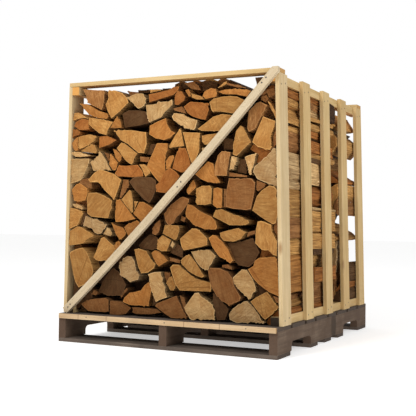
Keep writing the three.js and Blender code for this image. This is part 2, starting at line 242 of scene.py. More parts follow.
    ("streaked", 0, [(240, 808), (282, 802), (276, 778), (268, 726), (268, 706), (212, 708), (210, 748),
        (222, 790)]),
    ("pale", 4, [(284, 788), (308, 780), (304, 760), (292, 733), (272, 730), (278, 770)]),
    ("brown", 8, [(270, 722), (350, 708), (350, 699), (270, 704)]),
    ("dark", 30, [(302, 776), (336, 776), (340, 714), (298, 722)]),
    ("pale", 1, [(342, 780), (368, 791), (394, 796), (390, 776), (378, 732), (374, 708), (364, 708),
        (351, 750)]),
    ("grey", 0, [(454, 800), (464, 813), (474, 811), (480, 750), (482, 662), (430, 676), (396, 692),
        (378, 720), (384, 742), (434, 780)]),
    # seventh course
    ("honey", 4, [(-488, 862), (-470, 884), (-457, 890), (-455, 836), (-468, 827), (-480, 836)]),
    ("tan", 1, [(-450, 890), (-424, 895), (-398, 899), (-362, 890), (-380, 868), (-402, 851),
        (-440, 834), (-451, 840)]),
    ("amber", 10, [(-353, 888), (-314, 892), (-262, 868), (-300, 850), (-352, 837)]),
    ("tan", 0, [(-269, 912), (-177, 908), (-111, 897), (-109, 845), (-121, 808), (-150, 810),
        (-199, 848), (-234, 867)]),
    ("honey", 0, [(-93, 922), (-60, 937), (-17, 953), (-10, 928), (8, 900), (30, 888), (5, 866),
        (-25, 859), (-62, 867), (-94, 885)]),
    ("tan", 1, [(52, 908), (58, 898), (64, 858), (70, 832), (28, 829), (0, 826), (0, 838), (32, 884)]),
    ("tan", 2, [(151, 872), (180, 877), (232, 880), (225, 850), (195, 834), (166, 834), (152, 846)]),
    ("pale", 8, [(149, 824), (168, 824), (160, 805), (149, 802)]),
    ("dark", 20, [(240, 860), (285, 856), (288, 812), (240, 814)]),
    ("tan", 0, [(326, 905), (338, 900), (372, 838), (346, 818), (306, 785), (288, 790), (292, 834),
        (306, 884)]),
    ("tan", 0, [(418, 939), (470, 918), (468, 900), (452, 860), (455, 802), (445, 804), (398, 818),
        (374, 838), (382, 860), (398, 895)]),
    ("brown", 14, [(456, 862), (470, 896), (473, 830), (458, 810)]),
    # eighth course
    ("amber", 3, [(-492, 922), (-466, 925), (-446, 912), (-452, 897), (-478, 892), (-492, 880)]),
    ("amber", 2, [(-478, 936), (-470, 956), (-437, 969), (-403, 963), (-400, 920), (-448, 918)]),
    ("tan", 4, [(-488, 962), (-480, 996), (-460, 997), (-404, 968), (-437, 972)]),
    ("tan", 0, [(-398, 972), (-317, 958), (-272, 947), (-300, 914), (-310, 891), (-348, 901), (-402, 942)]),
    ("honey", 1, [(-256, 974), (-238, 948), (-231, 919), (-288, 920), (-276, 943)]),
    ("dark", 12, [(-236, 980), (-204, 994), (-150, 992), (-118, 985), (-103, 952), (-104, 936),
        (-150, 928), (-228, 920)]),
    ("pale", 0, [(-111, 1010), (-66, 1014), (-45, 1022), (-8, 1020), (17, 1026), (14, 1003), (-24, 972),
        (-36, 955), (-78, 941), (-92, 934), (-105, 953)]),
    ("pale", 1, [(18, 971), (58, 966), (100, 946), (132, 938), (122, 902), (110, 898), (68, 909),
        (20, 938), (10, 956)]),
    ("tan", 1, [(132, 900), (168, 923), (202, 948), (240, 957), (290, 950), (290, 925), (240, 886),
        (206, 888), (150, 890)]),
    ("amber", 0, [(68, 994), (98, 1014), (182, 1003), (178, 962), (166, 935), (142, 939), (110, 950),
        (86, 966)]),
    ("brown", 8, [(16, 992), (54, 998), (68, 986), (78, 966), (54, 970), (18, 982)]),
    ("streaked", 0, [(356, 962), (388, 993), (404, 998), (434, 982), (422, 956), (398, 915), (386, 888),
        (360, 878), (352, 893)]),
    ("tan", 3, [(436, 998), (448, 992), (472, 952), (472, 926), (452, 962)]),
    ("tan", 0, [(184, 1004), (204, 1020), (240, 1026), (278, 1027), (306, 1023), (345, 1004),
        (340, 985), (300, 952), (236, 965), (196, 966)]),
    # the loose heap on top
    ("streaked", 0, [(-430, 1096), (-322, 1086), (-326, 1040), (-338, 1001), (-412, 1036), (-416, 1068)]),
    ("honey", 1, [(-447, 1034), (-409, 1031), (-353, 1000), (-309, 986), (-300, 970), (-312, 960),
        (-353, 967), (-398, 983)]),
    ("tan", 0, [(-298, 1086), (-262, 1080), (-232, 1070), (-207, 1047), (-200, 1026), (-252, 982),
        (-284, 962), (-300, 990), (-313, 1022), (-300, 1045)]),
    ("pale", 1, [(-212, 1048), (-160, 1062), (-130, 1062), (-112, 1040), (-120, 1008), (-148, 997),
        (-170, 1010), (-190, 1032)]),
    ("brown", 30, [(-226, 1080), (-168, 1074), (-168, 1060), (-205, 1054)]),
    ("dark", 40, [(-176, 1084), (-122, 1083), (-122, 1068), (-176, 1068)]),
    ("tan", 24, [(-110, 1080), (-56, 1078), (-54, 1070), (-108, 1064)]),
    ("dark", 40, [(-60, 1084), (-18, 1083), (-16, 1074), (-58, 1072)]),
    ("amber", 1, [(-100, 1055), (-60, 1061), (-8, 1069), (20, 1080), (42, 1080), (38, 1064), (16, 1045),
        (-50, 1030), (-94, 1019)]),
    ("amber", 3, [(30, 1063), (54, 1060), (72, 1036), (66, 1020), (36, 1002), (20, 1006), (20, 1040)]),
    ("honey", 6, [(68, 1062), (84, 1068), (94, 1056), (100, 1036), (88, 1034)]),
    ("tan", 9, [(98, 1050), (118, 1042), (150, 1032), (158, 1020), (125, 1020), (100, 1030)]),
    ("honey", 2, [(150, 1032), (158, 1052), (190, 1065), (212, 1060), (216, 1036), (208, 1026),
        (165, 1020)]),
    ("honey", 0, [(216, 1048), (250, 1055), (304, 1056), (350, 1048), (368, 1040), (352, 1017),
        (304, 1030), (240, 1036)]),
    ("dark", 50, [(20, 1104), (46, 1106), (76, 1088), (60, 1074), (22, 1084)]),
    ("brown", 34, [(50, 1096), (94, 1102), (116, 1085), (126, 1062), (84, 1070)]),
    ("dark", 56, [(116, 1104), (158, 1106), (192, 1092), (190, 1068), (128, 1062)]),
    ("tan", 14, [(214, 1064), (238, 1086), (252, 1090), (256, 1080), (230, 1066)]),
    ("dark", 44, [(214, 1092), (256, 1100), (330, 1058), (290, 1060), (222, 1064)]),
    ("brown", 16, [(252, 1084), (296, 1074), (340, 1056), (298, 1060), (256, 1074)]),
    ("brown", 16, [(424, 1044), (460, 1050), (464, 1022), (436, 1012)]),
    ("brown", 14, [(402, 1018), (428, 1024), (438, 1008), (422, 994), (404, 1004)]),
    ("amber", 60, [(398, 1052), (430, 1070), (464, 1066), (467, 1036), (430, 1030)]),
    ("brown", 48, [(360, 1052), (392, 1060), (424, 1040), (398, 1026), (364, 1034)]),
    ("tan", 90, [(412, 1034), (466, 1034), (468, 1004), (440, 996)]),
]

# Loose logs at the right on the middle row: tone, set back, rise for each metre, and corners.
RIGHT_HEAP = [
    # The deepest one, set far back, is coloured near-black painted shadow.
    ("sunken", 235, 0.0, [(410, 985), (478, 990), (481, 1050), (472, 1077), (420, 1078)]),
    ("brown", 6, -0.05, [(398, 1030), (462, 1026), (466, 1052), (430, 1066)]),
    ("amber", 20, 0.0, [(392, 1062), (440, 1072), (466, 1068), (464, 1050), (410, 1048)]),
]

# Room left between the logs and the slats.
CHIP_ROOM = 1.0 * MM
ROWS = ("front", "middle", "back")
LOG_LENGTH = 0.368
# The logs of a row are joined in courses of this height.
COURSE_HEIGHT = 0.145
# Front-row logs whose middle is this far above the row are its loose heap.
HEAP_RISE = 10 * MM
# Tones that half of the logs behind the front row are changed to.
OTHER_TONES = {"brown": "honey", "dark": "brown", "amber": "tan", "honey": "amber", "pale": "tan"}
# The most of a log's set-back that counts behind the front row.
DEEPEST_SETBACK = 0.022

# Points round a log's outline, and rings of points along its length.
SECTION_POINTS = {"front": 56, "middle": 30, "back": 34}
LENGTH_STATIONS = 9
# The eased rim of a sawn end: how long it is, and how far it draws in.
RIM_LENGTH = 1.0 * MM
RIM_INSET = 0.7 * MM
# How far a log's surface stands inside its outline on average.
SKIN_DEPTH = 0.9 * MM
# Loops of points on a sawn end: their share of its width, and how uneven they are.
END_LOOPS = ((0.74, 0.25 * MM), (0.36, 0.35 * MM))
# Sections smaller than this, in square metres, are left out.
LEAST_SECTION = 150 * MM * MM

# Logs low in the stack are darker: heights, and how much of their tone is left.
LOW_LOG_HEIGHTS = (0.13, 0.45, 0.75)
LOW_LOG_SHARES = (0.68, 0.80, 0.92)
# Painted shade: how much of their colour the sides of logs inside the stack keep.
BURIED_SHADE = 0.42
# Logs past this X, at either side, lie against the slats and lean inwards.
SIDE_ZONE = 0.40
# Those of the front row's right side with a bigger section than this, in square metres, lean in
# by this much at most, for each metre of length.
BIG_LOG = 0.006
BIG_LOG_LEAN = -0.02

# The fillers deep in the gaps between logs: the least and the most that each end is set back.
FILLER_DEPTH = {"front": (55, 130), "middle": (20, 70), "back": (20, 70)}
SIDE_FILLER_DEPTH = (15, 60)
# The fillers are mostly coloured near-black painted shadow; the rest take the dark wood tone.
FILLER_TONES = ("sunken", "sunken", "sunken", "dark")
SIDE_FILLER_TONES = ("dark", "brown", "amber")
FILLER_POINTS = 18
# They are found on a grid with this step, and are at most this many, with this many corners.
GAP_STEP = 3 * MM
MOST_FILLERS = 90
FILLER_CORNERS = 16
# How far they stay below the row's top, and how many grid steps they reach out.
FILLER_HEADROOM = 0.03
FILLER_REACH = 22
# The four neighbours of a grid point, each as a step and its axis.
NEIGHBOURS = ((1, 0), (-1, 0), (1, 1), (-1, 1))

# The back row's right-hand corner stands open at these heights. Its logs there are cut off on a
# slope with this normal in X and Z, at this X, and above this height it has no fillers past it.
BACK_GAPS = ((0.130, 0.165), (0.490, 0.540), (0.770, 0.820))
BACK_SLOPE = (0.55, 0.84)
BACK_CORNER = 0.395
BACK_OPEN_HEIGHT = 0.45

# Nail heads: rings as height above the board and share of the radius, and sides.
NAIL_RINGS = ((-0.6 * MM, 1.0), (0.25 * MM, 1.0), (0.6 * MM, 0.7))
NAIL_SIDES = 12
# Nails through the front brace, as X and Z, and through the front batten, as X.
BRACE_NAILS = (
    (0.441, 1.085), (0.423, 1.066), (0.072, 0.684), (0.056, 0.664), (-0.476, 0.147), (-0.464, 0.160),
)
BATTEN_NAILS = (-0.36, 0.02, 0.38)
# Nails through a slat: shares of its length, how far in from its edges, and how much higher the
# one at the back sits.
SLAT_NAIL_LEVELS = (0.020, 0.955)
SLAT_NAIL_INSET = 0.022
SLAT_NAIL_STEP = 0.008

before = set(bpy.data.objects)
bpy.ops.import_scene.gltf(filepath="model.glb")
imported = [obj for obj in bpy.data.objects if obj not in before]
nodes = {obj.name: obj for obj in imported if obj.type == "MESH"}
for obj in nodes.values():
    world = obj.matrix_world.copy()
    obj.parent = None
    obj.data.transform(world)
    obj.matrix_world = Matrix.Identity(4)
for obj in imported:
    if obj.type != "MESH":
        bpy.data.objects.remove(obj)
LOWEST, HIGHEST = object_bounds()


# ---------------------------------------------------------------- materials

def new_material(name):
    material = bpy.data.materials.new(name)
    material.use_nodes = True
    material.node_tree.nodes.clear()
    tree = material.node_tree
    shader = tree.nodes.new("ShaderNodeBsdfPrincipled")
    out = tree.nodes.new("ShaderNodeOutputMaterial")
    tree.links.new(shader.outputs["BSDF"], out.inputs["Surface"])
    return material, tree, shader


def new_group(name, inputs, outputs):
    """A shader node group with named sockets: (name, type, default) in, the names of values out."""
    tree = bpy.data.node_groups.new(name, "ShaderNodeTree")
    for label, kind, value in inputs:
        socket = tree.interface.new_socket(label, in_out="INPUT", socket_type=kind)
        if value is not None:
            socket.default_value = value
    for label in outputs:
        tree.interface.new_socket(label, in_out="OUTPUT", socket_type="NodeSocketFloat")
    return tree, tree.nodes.new("NodeGroupInput"), tree.nodes.new("NodeGroupOutput")


def set_inputs(node, **values):
    """Links or sets a node's inputs by name. An underscore stands for a space."""
    for label, value in values.items():
        socket = node.inputs[label.replace("_", " ")]
        if isinstance(value, bpy.types.NodeSocket):
            node.id_data.links.new(value, socket)
        else:
            socket.default_value = value


def place_group(tree, group, **values):
    node = tree.nodes.new("ShaderNodeGroup")
    node.node_tree = group
    set_inputs(node, **values)
    return node.outputs


def math_node(tree, operation, first, second=None, clamp=False):
    node = tree.nodes.new("ShaderNodeMath")
    node.operation = operation
    node.use_clamp = clamp
    for socket, value in zip(node.inputs, (first, second)):
        if value is None:
            continue
        if isinstance(value, (int, float)):
            socket.default_value = value
        else:
            tree.links.new(value, socket)
    return node.outputs[0]


def share_of(tree, value, share):
    return math_node(tree, "MULTIPLY", value, share)


def vector_math(tree, operation, first, second=None):
    node = tree.nodes.new("ShaderNodeVectorMath")
    node.operation = operation
    tree.links.new(first, node.inputs[0])
    if isinstance(second, tuple):
        node.inputs[1].default_value = second
    elif second is not None:
        tree.links.new(second, node.inputs[1])
    return node.outputs["Value" if operation in ("DOT_PRODUCT", "LENGTH") else "Vector"]


def stretch(tree, vector, scale):
    """The vector with its three parts scaled, so that a pattern runs along the grain."""
    return vector_math(tree, "MULTIPLY", vector, scale)


def remap(tree, value, low, high, new_low=0.0, new_high=1.0):
    node = tree.nodes.new("ShaderNodeMapRange")
    set_inputs(node, Value=value, From_Min=low, From_Max=high, To_Min=new_low, To_Max=new_high)
    return node.outputs["Result"]


def noise(tree, vector, scale, detail=3.0, roughness=0.55, distortion=0.0):
    node = tree.nodes.new("ShaderNodeTexNoise")
    set_inputs(node, Vector=vector, Scale=scale, Detail=detail, Roughness=roughness, Distortion=distortion)
    return node.outputs["Fac"]


def line_noise(tree, value, scale, detail):
    """Noise along one number, such as the distance from the pith."""
    node = tree.nodes.new("ShaderNodeTexNoise")
    node.noise_dimensions = "1D"
    set_inputs(node, W=value, Scale=scale, Detail=detail)
    return node.outputs["Fac"]


def mix_colour(tree, factor, first, second, blend="MIX"):
    node = tree.nodes.new("ShaderNodeMix")
    node.data_type = "RGBA"
    node.blend_type = blend
    node.clamp_factor = True
    for socket, value in ((node.inputs[0], factor), (node.inputs[6], first), (node.inputs[7], second)):
        if isinstance(value, (int, float)):
            socket.default_value = value
        elif isinstance(value, tuple):
            socket.default_value = (*value, 1.0)
        else:
            tree.links.new(value, socket)
    return node.outputs[2]


def bump(tree, height, strength, distance):
    node = tree.nodes.new("ShaderNodeBump")
    set_inputs(node, Height=height, Strength=strength, Distance=distance)
    return node.outputs["Normal"]


def edge_wear_group():
    """How rubbed a sharp edge is, from how far its bevelled normal turns away from the flat one."""
    tree, into, out = new_group(
        "edge_wear",
        [("Width", "NodeSocketFloat", 0.003), ("Position", "NodeSocketVector", None)],
        ["Wear"],
    )
    bevel = tree.nodes.new("ShaderNodeBevel")
    bevel.samples = 4
    set_inputs(bevel, Radius=into.outputs["Width"])
    geometry = tree.nodes.new("ShaderNodeNewGeometry")
    agreement = vector_math(tree, "DOT_PRODUCT", bevel.outputs[0], geometry.outputs["Normal"])
    turned = remap(tree, agreement, 0.995, 0.80)
    patches = remap(tree, noise(tree, into.outputs["Position"], 45.0, 4.0), 0.35, 0.62)
    set_inputs(out, Wear=math_node(tree, "MULTIPLY", turned, patches, True))
    return tree


def board_grain_group():
    """Grain of a flat-sawn board from coordinates whose X runs along the grain."""
    tree, into, out = new_group(
        "board_grain",
        [("Along", "NodeSocketVector", None)],
        ["Grain", "Fibres", "Knots", "Cloud"],
    )
    along = into.outputs["Along"]
    lines = noise(tree, stretch(tree, along, (1.6, 34.0, 34.0)), 2.2, 4.0, 0.6, 0.6)
    fibres = noise(tree, stretch(tree, along, (5.0, 260.0, 260.0)), 3.0, 2.0, 0.6)
    spots = tree.nodes.new("ShaderNodeTexVoronoi")
    set_inputs(spots, Vector=stretch(tree, along, (1.0, 2.6, 2.6)), Scale=2.6, Randomness=1.0)
    set_inputs(
        out, Grain=remap(tree, lines, 0.36, 0.66), Fibres=fibres,
        Knots=remap(tree, spots.outputs["Distance"], 0.085, 0.03),
        Cloud=remap(tree, noise(tree, along, 2.4, 3.0), 0.32, 0.68),
    )
    return tree


def grime_group():
    """Patches of dirt. The amount widens them."""
    tree, into, out = new_group(
        "grime",
        [("Position", "NodeSocketVector", None), ("Amount", "NodeSocketFloat", 0.5)],
        ["Dirt"],
    )
    patches = noise(tree, into.outputs["Position"], 7.0, 6.0, 0.62)
    shifted = math_node(tree, "ADD", patches, share_of(tree, into.outputs["Amount"], 0.4))
    set_inputs(out, Dirt=remap(tree, shifted, 0.55, 0.85))
    return tree


EDGE_WEAR = edge_wear_group()
BOARD_GRAIN = board_grain_group()
GRIME = grime_group()


def facing_mask(tree, direction, low, high, either_way=False):
    """1 where the flat surface faces the direction given."""
    geometry = tree.nodes.new("ShaderNodeNewGeometry")
    size = vector_math(tree, "DOT_PRODUCT", geometry.outputs["True Normal"], direction)
    if either_way:
        size = math_node(tree, "ABSOLUTE", size)
    return remap(tree, size, low, high)


def near_mask(tree, place, centre, spread, edge):
    """1 round a point, fading out; the spread is how far it reaches along X, Y and Z."""
    away = vector_math(tree, "SUBTRACT", place, centre)
    scaled = stretch(tree, away, tuple(1 / s for s in spread))
    return remap(tree, vector_math(tree, "LENGTH", scaled), 1.0, edge)


def board_wood(name, direction, finish, marks):
    """Sawn softwood whose grain runs along the direction given. Marks are what one board alone has."""
    material, tree, shader = new_material(name)
    place = tree.nodes.new("ShaderNodeTexCoord").outputs["Object"]
    turn = tree.nodes.new("ShaderNodeMapping")
    turn.vector_type = "POINT"
    lengthways = Vector(direction).normalized()
    turn.inputs["Rotation"].default_value = lengthways.rotation_difference(Vector((1, 0, 0))).to_euler()
    set_inputs(turn, Vector=place)
    grain = place_group(tree, BOARD_GRAIN, Along=turn.outputs[0])
    with_painted_light = place_group(tree, EDGE_WEAR, Width=0.003, Position=place)
    grime = place_group(tree, GRIME, Amount=finish["dirt"], Position=place)
    face = mix_colour(tree, grain["Grain"], finish["light"], finish["dark"])
    clouds = share_of(tree, grain["Cloud"], finish["clouds"])
    tinted = mix_colour(tree, clouds, face, finish["end"])
    fibres = remap(tree, grain["Fibres"], 0.3, 0.8, 0.0, 0.35)
    fibred = mix_colour(tree, fibres, tinted, finish["dark"])
    knots = share_of(tree, grain["Knots"], 0.85)
    wood = mix_colour(tree, knots, fibred, finish["knot"])
    # Faces that point down get the painted shade colour given in the marks.
    if "painted_underside_shade" in marks:
        wood = mix_colour(tree, facing_mask(tree, (0, 0, -1), 0.5, 0.7), wood, marks["painted_underside_shade"])
    rubbed = share_of(tree, with_painted_light["Wear"], 0.55)
    wood = mix_colour(tree, rubbed, wood, finish["rim"])
    ends = facing_mask(tree, tuple(lengthways), 0.7, 0.8, True)
    wood = mix_colour(tree, ends, wood, finish["end"])
    if "specks" in marks:
        specks = remap(tree, noise(tree, place, 190.0, 2.0), 0.60, 0.68, 0.0, marks["specks"])
        wood = mix_colour(tree, specks, wood, finish["knot"])
    for seam in marks.get("seams", ()):
        line = near_mask(tree, stretch(tree, place, (1, 0, 0)), (seam, 0, 0), (0.0022, 1, 1), 0.5)
        wood = mix_colour(tree, share_of(tree, line, 0.75), wood, finish["knot"])
    if "stain" in marks:
        centre, spread, colour = marks["stain"]
        wood = mix_colour(tree, near_mask(tree, place, centre, spread, 0.65), wood, colour)
    dirt = share_of(tree, grime["Dirt"], finish["dirt"])
    wood = mix_colour(tree, dirt, wood, finish["dirt_colour"])
    # A colour for the board's ends alone: orange end grain on the top rails, painted shade on the bottom
    # rails.
    if "end" in marks:
        wood = mix_colour(tree, ends, wood, marks["end"])
    relief = bump(tree, math_node(tree, "ADD", grain["Fibres"], grain["Grain"]), 0.5, 0.8 * MM)
    set_inputs(shader, Base_Color=wood, Roughness=finish["roughness"], Specular_IOR_Level=0.2, Normal=relief)
    return material


NEW_PINE = dict(
    light=(0.66, 0.485, 0.245), dark=(0.51, 0.345, 0.140), end=(0.48, 0.27, 0.09), knot=(0.31, 0.17, 0.07),
    clouds=0.35, roughness=0.75, dirt=0.30, dirt_colour=(0.36, 0.25, 0.12), rim=(0.78, 0.64, 0.40),
)
PALE_PINE = dict(
    light=(0.66, 0.52, 0.31), dark=(0.53, 0.385, 0.20), end=(0.49, 0.31, 0.12), knot=(0.34, 0.19, 0.08),
    clouds=0.3, roughness=0.75, dirt=0.30, dirt_colour=(0.38, 0.28, 0.15), rim=(0.78, 0.65, 0.42),
)
CREAM_PINE = dict(
    light=(0.62, 0.52, 0.365), dark=(0.52, 0.41, 0.26), end=(0.48, 0.34, 0.18), knot=(0.26, 0.18, 0.10),
    clouds=0.3, roughness=0.75, dirt=0.2, dirt_colour=(0.36, 0.28, 0.18), rim=(0.74, 0.65, 0.47),
)
OLD_PINE = dict(
    light=(0.66, 0.49, 0.30), dark=(0.50, 0.34, 0.185), end=(0.46, 0.28, 0.13), knot=(0.20, 0.11, 0.06),
    clouds=0.5, roughness=0.85, dirt=0.35, dirt_colour=(0.28, 0.18, 0.105), rim=(0.80, 0.66, 0.47),
)
OLD_BOARD = dict(
    light=(0.215, 0.165, 0.130), dark=(0.105, 0.078, 0.060), end=(0.085, 0.060, 0.045),
    knot=(0.04, 0.028, 0.02), clouds=0.35, roughness=0.92, dirt=0.6, dirt_colour=(0.060, 0.047, 0.038),
    rim=(0.34, 0.27, 0.21),
)
OLD_STRINGER = dict(
    light=(0.215, 0.155, 0.108), dark=(0.115, 0.080, 0.056), end=(0.105, 0.066, 0.044),
    knot=(0.06, 0.04, 0.03), clouds=0.35, roughness=0.92, dirt=0.7, dirt_colour=(0.085, 0.052, 0.034),
    rim=(0.40, 0.32, 0.24),
)
ORANGE_END = (0.62, 0.30, 0.075)
# Painted shade for the downward faces of the top boards and top rails: warm and darker.
UNDERSIDE_PAINTED_SHADE = (0.52, 0.27, 0.085)
# What one board alone has.
MARKS = {
    "front_brace": {"specks": 0.55},
    "back_brace": {"specks": 0.55},
    "front_top_board": {"painted_underside_shade": UNDERSIDE_PAINTED_SHADE},
    "back_top_board": {"painted_underside_shade": UNDERSIDE_PAINTED_SHADE},
    "left_top_rail": {"end": ORANGE_END, "painted_underside_shade": UNDERSIDE_PAINTED_SHADE},
    "right_top_rail": {"end": ORANGE_END, "painted_underside_shade": UNDERSIDE_PAINTED_SHADE},
    # The bottom rails' end grain is painted near-black shade.
    "left_bottom_rail": {"end": (0.05, 0.028, 0.012)},
    "right_bottom_rail": {"end": (0.020, 0.011, 0.005)},
    "front_batten": {"seams": (-0.401, -0.259, 0.109, 0.267)},
    "right_stringer": {"stain": ((0.508, 0.085, 0.062), (0.1, 0.042, 0.085), (0.022, 0.025, 0.021))},
}


def steel_material():
    material, tree, shader = new_material("nail_steel")
    set_inputs(shader, Base_Color=(0.10, 0.085, 0.075, 1), Metallic=0.6, Roughness=0.55)
    return material


def split_grain_group():
    """Rings, saw marks and fibres of a split log, from its own coordinates round the pith."""
    tree, into, out = new_group(
        "split_grain",
        [("Round Pith", "NodeSocketVector", None)],
        ["Rings", "Saw", "Fibres", "Streaks", "Cloud", "Checks"],
    )
    own = into.outputs["Round Pith"]
    parts = tree.nodes.new("ShaderNodeSeparateXYZ")
    tree.links.new(own, parts.inputs[0])
    across = tree.nodes.new("ShaderNodeCombineXYZ")
    set_inputs(across, X=parts.outputs["X"], Z=parts.outputs["Z"])
    length = vector_math(tree, "LENGTH", across.outputs[0])
    wobble = noise(tree, own, 16.0, 2.0)
    radius = math_node(tree, "ADD", length, share_of(tree, wobble, 0.016))
    angle = math_node(tree, "ARCTAN2", parts.outputs["Z"], parts.outputs["X"])
    wavering = math_node(tree, "ADD", angle, share_of(tree, wobble, 0.12))
    saw = noise(tree, stretch(tree, own, (210.0, 30.0, 26.0)), 1.0, 4.0, 0.75)
    fibres = noise(tree, stretch(tree, own, (190.0, 5.0, 190.0)), 1.3, 3.0, 0.6, 0.3)
    streaks = noise(tree, stretch(tree, own, (40.0, 2.2, 40.0)), 1.5, 3.0, 0.6, 0.5)
    set_inputs(
        out, Rings=remap(tree, line_noise(tree, radius, 130.0, 2.5), 0.36, 0.66),
        Saw=remap(tree, saw, 0.36, 0.70), Fibres=remap(tree, fibres, 0.46, 0.66),
        Streaks=remap(tree, streaks, 0.48, 0.66),
        Cloud=remap(tree, noise(tree, own, 22.0, 4.0, 0.6), 0.34, 0.66),
        Checks=remap(tree, line_noise(tree, wavering, 13.0, 1.0), 0.73, 0.77),
    )
    return tree


SPLIT_GRAIN = split_grain_group()


def attribute(tree, name, output):
    node = tree.nodes.new("ShaderNodeAttribute")
    node.attribute_name = name
    return node.outputs[output]


def log_material(name, sawn):
    """The sawn end or the torn side of a split log. Tone, pith and outer edge come from the mesh."""
    material, tree, shader = new_material(name)
    tone = attribute(tree, "tone", "Color")
    own = attribute(tree, "round_pith", "Vector")
    edge = attribute(tree, "outer_edge", "Fac")
    grain = place_group(tree, SPLIT_GRAIN, Round_Pith=own)
    wear = place_group(tree, EDGE_WEAR, Width=0.0035, Position=own)
    ripe = mix_colour(tree, 1.0, tone, (0.74, 0.60, 0.46), "MULTIPLY")
    deep = mix_colour(tree, 1.0, tone, (0.36, 0.25, 0.17), "MULTIPLY")
    # A lighter colour, used for the sides' tone, for edge wear, and for the painted highlight on sawn ends'
    # rims.
    fresh_wood_and_highlight = mix_colour(tree, 1.0, tone, (1.42, 1.50, 1.65), "MULTIPLY")
    clouded = mix_colour(tree, share_of(tree, grain["Cloud"], 0.85), tone, ripe)
    if sawn:
        split = attribute(tree, "split_face", "Fac")
        rimmed = mix_colour(tree, remap(tree, edge, 0.35, 0.85, 0.0, 0.42), clouded, ripe)
        ringed = mix_colour(tree, share_of(tree, grain["Rings"], 0.22), rimmed, deep)
        cut = math_node(tree, "ADD", share_of(tree, split, 0.50), 0.40)
        marked = mix_colour(tree, math_node(tree, "MULTIPLY", grain["Saw"], cut), ringed, deep)
        checked = mix_colour(tree, share_of(tree, grain["Checks"], 0.62), marked, deep)
        bands = noise(tree, stretch(tree, own, (120.0, 30.0, 24.0)), 1.0, 5.0, 0.75)
        patches = remap(tree, bands, 0.42, 0.66, 0.0, 0.50)
        patched = mix_colour(tree, patches, checked, deep)
        # Painted highlight: the outer rim of a sawn end is lightened in cloudy patches.
        rim_highlight = math_node(tree, "MULTIPLY", remap(tree, edge, 0.84, 0.94), grain["Cloud"])
        with_painted_light = mix_colour(tree, share_of(tree, rim_highlight, 0.70), patched, fresh_wood_and_highlight)
        height = math_node(tree, "ADD", grain["Saw"], share_of(tree, grain["Rings"], 0.5))
        strength, depth = 0.6, 1.2 * MM
    else:
        bright = mix_colour(tree, 0.36, clouded, fresh_wood_and_highlight)
        torn = mix_colour(tree, share_of(tree, grain["Streaks"], 0.50), bright, deep)
        lined = mix_colour(tree, share_of(tree, grain["Fibres"], 0.66), torn, deep)
        # Painted shade: sides of logs inside the stack are darkened towards near-black by their side_shade.
        shade = remap(tree, attribute(tree, "side_shade", "Fac"), 0.0, 1.0, 1.0, 0.0)
        with_painted_light = mix_colour(tree, shade, lined, (0.040, 0.019, 0.008))
        height = math_node(tree, "ADD", grain["Fibres"], grain["Streaks"])
        strength, depth = 0.9, 2.6 * MM
    edged = mix_colour(tree, share_of(tree, wear["Wear"], 0.7), with_painted_light, fresh_wood_and_highlight)
    relief = bump(tree, height, strength, depth)
    set_inputs(shader, Base_Color=edged, Roughness=0.85, Specular_IOR_Level=0.12, Normal=relief)
    return material


# ---------------------------------------------------------------- camera, floor and lights

def put_in_scene(name, data):
    thing = bpy.data.objects.new(name, data)
    bpy.context.scene.collection.objects.link(thing)
    return thing


def set_camera():
    yaw, pitch, roll = (math.radians(a) for a in (CAMERA_YAW, CAMERA_PITCH, CAMERA_ROLL))
    ahead = Vector((-math.sin(yaw) * math.cos(pitch), math.cos(yaw) * math.cos(pitch), math.sin(pitch)))
    level = Vector((math.cos(yaw), math.sin(yaw), 0.0))
    upright = level.cross(ahead)
    right = level * math.cos(roll) + upright * math.sin(roll)
    up = upright * math.cos(roll) - level * math.sin(roll)
    data = bpy.data.cameras.new("camera")
    data.lens = CAMERA_LENS
    data.sensor_width = 36.0
    data.clip_start = 0.1
    camera = put_in_scene("camera", data)
    axes = Matrix((right, up, -ahead)).transposed().to_4x4()
    camera.matrix_world = Matrix.Translation(CAMERA_PLACE) @ axes
    bpy.context.scene.camera = camera


def floor():
    bpy.ops.mesh.primitive_plane_add(size=FLOOR_SIZE, location=(0, 0, LOWEST.z - 0.5 * MM))
    plane = bpy.context.object
    plane.name = "floor"
    material, tree, shader = new_material("pale_floor")
    white = (1, 1, 1, 1)
    set_inputs(shader, Base_Color=(0.93, 0.93, 0.925, 1), Roughness=0.9)
    set_inputs(shader, Emission_Color=white, Emission_Strength=FLOOR_GLOW)
    plane.data.materials.append(material)


def soft_light(name, place, size, power):
    data = bpy.data.lights.new(name, "AREA")
    data.shape = "SQUARE"
    data.size = size
    data.energy = power
    light = put_in_scene(name, data)
    light.location = place
    middle = (LOWEST + HIGHEST) / 2
    light.rotation_euler = (middle - Vector(place)).to_track_quat("-Z", "Y").to_euler()


def studio():
    """A white backdrop, dimmer as a light than it looks, with a soft key and a softer fill."""
    world = bpy.data.worlds.new("studio")
    world.use_nodes = True
    tree = world.node_tree
    backdrop = tree.nodes["Background"]
    path = tree.nodes.new("ShaderNodeLightPath")
    strength = remap(tree, path.outputs["Is Camera Ray"], 0.0, 1.0, BACKDROP_LIGHT, 1.0)
    set_inputs(backdrop, Color=(1, 1, 1, 1), Strength=strength)
    bpy.context.scene.world = world
    bpy.context.scene.view_settings.view_transform = "Standard"
    soft_light("key_light", (-1.0, -4.6, 4.4), 1.6, KEY_POWER)
    soft_light("side_light", (4.4, -2.6, 3.0), 2.4, SIDE_POWER)


# ---------------------------------------------------------------- crate and pallet boards

def longest_axis(size):
    return max(range(3), key=lambda axis: abs(size[axis]))


def grain_direction(node):
    low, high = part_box(node)
    size = high - low
    if "brace" in node:
        sideways = size.x if node.startswith("front") else -size.x
        return (sideways, 0.0, size.z)
    return tuple(1.0 if axis == longest_axis(size) else 0.0 for axis in range(3))


